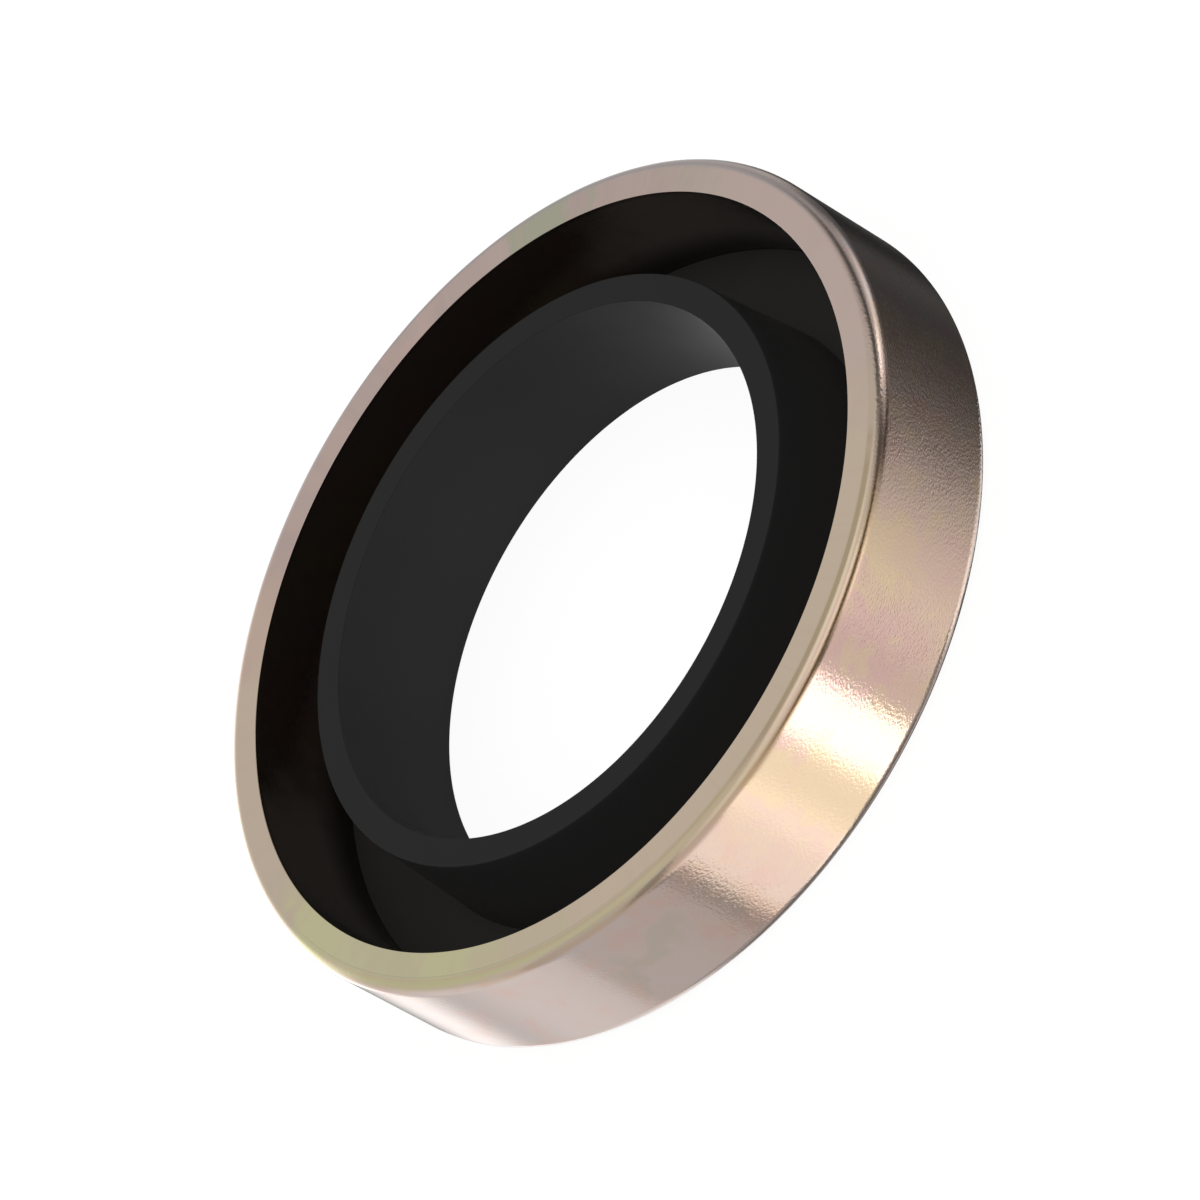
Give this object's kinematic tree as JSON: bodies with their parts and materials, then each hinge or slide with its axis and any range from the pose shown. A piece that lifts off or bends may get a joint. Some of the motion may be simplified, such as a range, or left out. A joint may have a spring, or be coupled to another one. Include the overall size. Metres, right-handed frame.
{
  "type": "radial shaft seal",
  "caption": "Metal-cased radial shaft seal: plated steel ring with an open annular recess and a springless rubber lip bonded inside.",
  "frame": {"origin": "centre of the back face, on the bore axis", "axes": "+Z along the bore axis, from the closed back towards the open front"},
  "size_m": [0.04, 0.04, 0.007],
  "materials": {
    "plated_steel": "zinc plated steel, iridescent yellow passivation, faint orange peel",
    "black_rubber": "moulded black nitrile rubber, satin"
  },
  "bodies": {
    "root": {"metal_case": "plated_steel", "rubber_lip": "black_rubber"}
  },
  "joints": []
}
